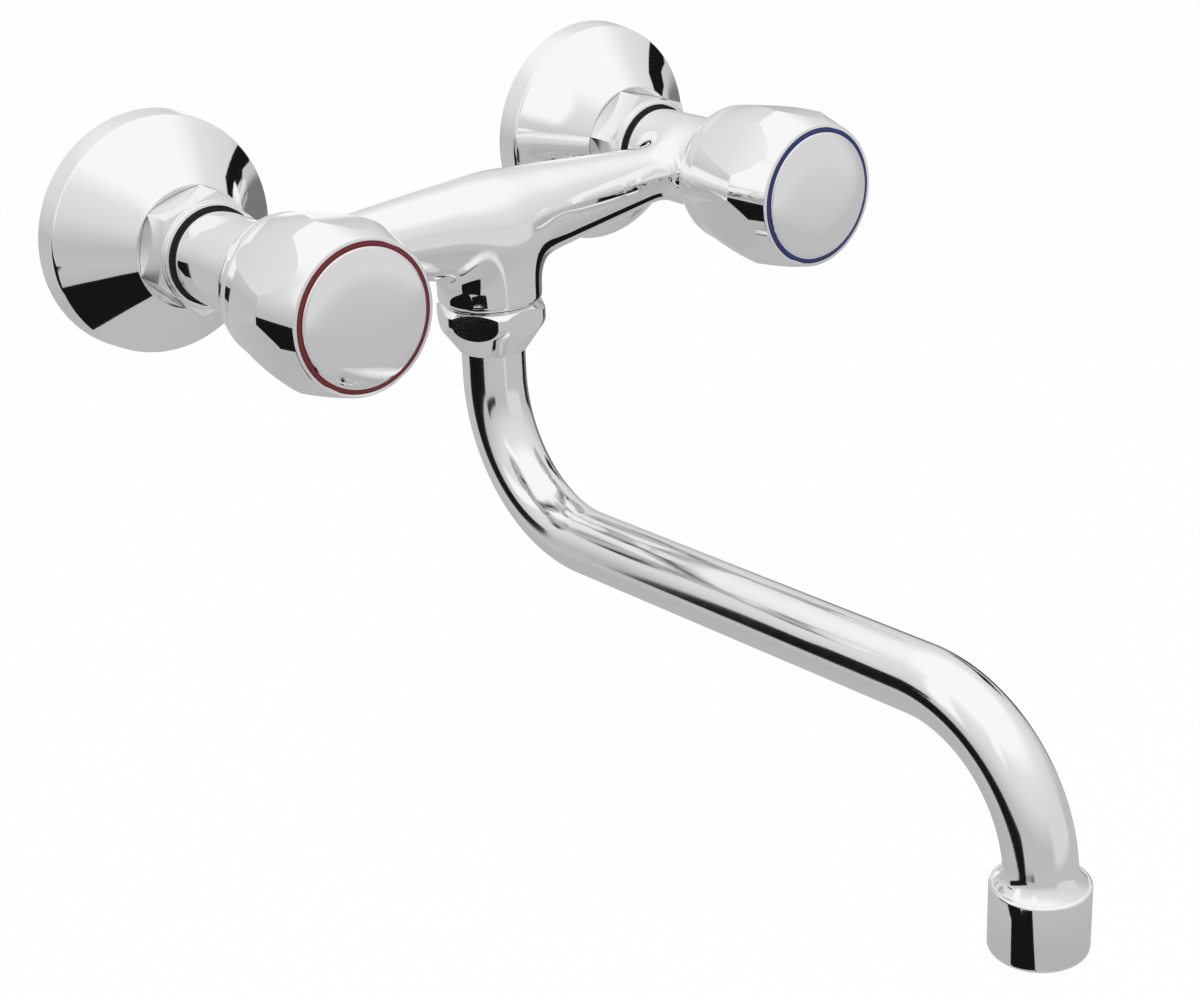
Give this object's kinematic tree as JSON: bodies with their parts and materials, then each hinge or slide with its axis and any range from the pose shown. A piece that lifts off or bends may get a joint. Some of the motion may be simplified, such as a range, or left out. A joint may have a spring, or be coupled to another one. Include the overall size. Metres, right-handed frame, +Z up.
{
  "type": "two-handle wall mixer tap",
  "caption": "Wall-mounted chrome mixer tap with hot and cold faceted knobs on a tapered bar and a swivelling double-bend spout with an aerator.",
  "frame": {"origin": "on the wall plane, midway between the two inlet axes, at inlet height", "axes": "+Z up, -Y out of the wall towards the user, +X from the hot inlet to the cold inlet"},
  "size_m": [0.2162, 0.2925, 0.1711],
  "materials": {
    "chrome": "mirror-polished chrome plating",
    "steel": "bright stainless steel screw",
    "brass": "turned brass",
    "bronze": "bronze spring ring",
    "rubber": "moulded black rubber",
    "nylon": "moulded white plastic",
    "red_plastic": "dark red gloss plastic",
    "blue_plastic": "dark blue gloss plastic"
  },
  "bodies": {
    "tap_body": {"hot_wall_rosette": "chrome", "hot_eccentric_union": "chrome", "hot_inlet_washer": "rubber", "hot_inlet_nipple": "brass", "hot_union_nut": "chrome", "hot_valve_bonnet": "brass", "hot_bonnet_seal": "rubber", "cold_wall_rosette": "chrome", "cold_eccentric_union": "chrome", "cold_inlet_washer": "rubber", "cold_inlet_nipple": "brass", "cold_union_nut": "chrome", "cold_valve_bonnet": "brass", "cold_bonnet_seal": "rubber", "mixer_body": "chrome", "spout_nut": "chrome", "spout_lip_seal": "rubber", "spout_slide_ring": "nylon"},
    "hot_handle_body": {"hot_handle": "chrome", "hot_handle_screw": "steel", "hot_index_ring": "red_plastic", "hot_handle_cap": "chrome", "hot_spindle": "brass", "hot_spindle_oring": "rubber"},
    "hot_plunger_body": {"hot_valve_plunger": "brass", "hot_valve_washer": "rubber"},
    "cold_handle_body": {"cold_handle": "chrome", "cold_handle_screw": "steel", "cold_index_ring": "blue_plastic", "cold_handle_cap": "chrome", "cold_spindle": "brass", "cold_spindle_oring": "rubber"},
    "cold_plunger_body": {"cold_valve_plunger": "brass", "cold_valve_washer": "rubber"},
    "spout_body": {"spout_tube": "chrome", "spout_split_ring": "bronze", "aerator_shell": "chrome", "aerator_washer": "rubber", "aerator_insert": "nylon"}
  },
  "joints": [
    {"name": "hot_handle_turn", "type": "hinge", "parent": "tap_body", "child": "hot_handle_body", "pos_m": [-0.075, -0.0917, 0], "axis": [0, -1, 0], "range_deg": [0, 720]},
    {"name": "hot_plunger_lift", "type": "slide", "parent": "tap_body", "child": "hot_plunger_body", "axis": [0, -1, 0], "range_m": [0, 0.004]},
    {"name": "cold_handle_turn", "type": "hinge", "parent": "tap_body", "child": "cold_handle_body", "pos_m": [0.075, -0.0917, 0], "axis": [0, -1, 0], "range_deg": [0, 720]},
    {"name": "cold_plunger_lift", "type": "slide", "parent": "tap_body", "child": "cold_plunger_body", "axis": [0, -1, 0], "range_m": [0, 0.004]},
    {"name": "spout_swivel", "type": "hinge", "parent": "tap_body", "child": "spout_body", "pos_m": [0, -0.05, -0.0332], "axis": [0, 0, 1], "range_deg": [-100, 100]}
  ],
  "couplings": [
    {"joint": "hot_plunger_lift", "follows": "hot_handle_turn", "m_per_rad": 0.00031831},
    {"joint": "cold_plunger_lift", "follows": "cold_handle_turn", "m_per_rad": 0.00031831}
  ]
}
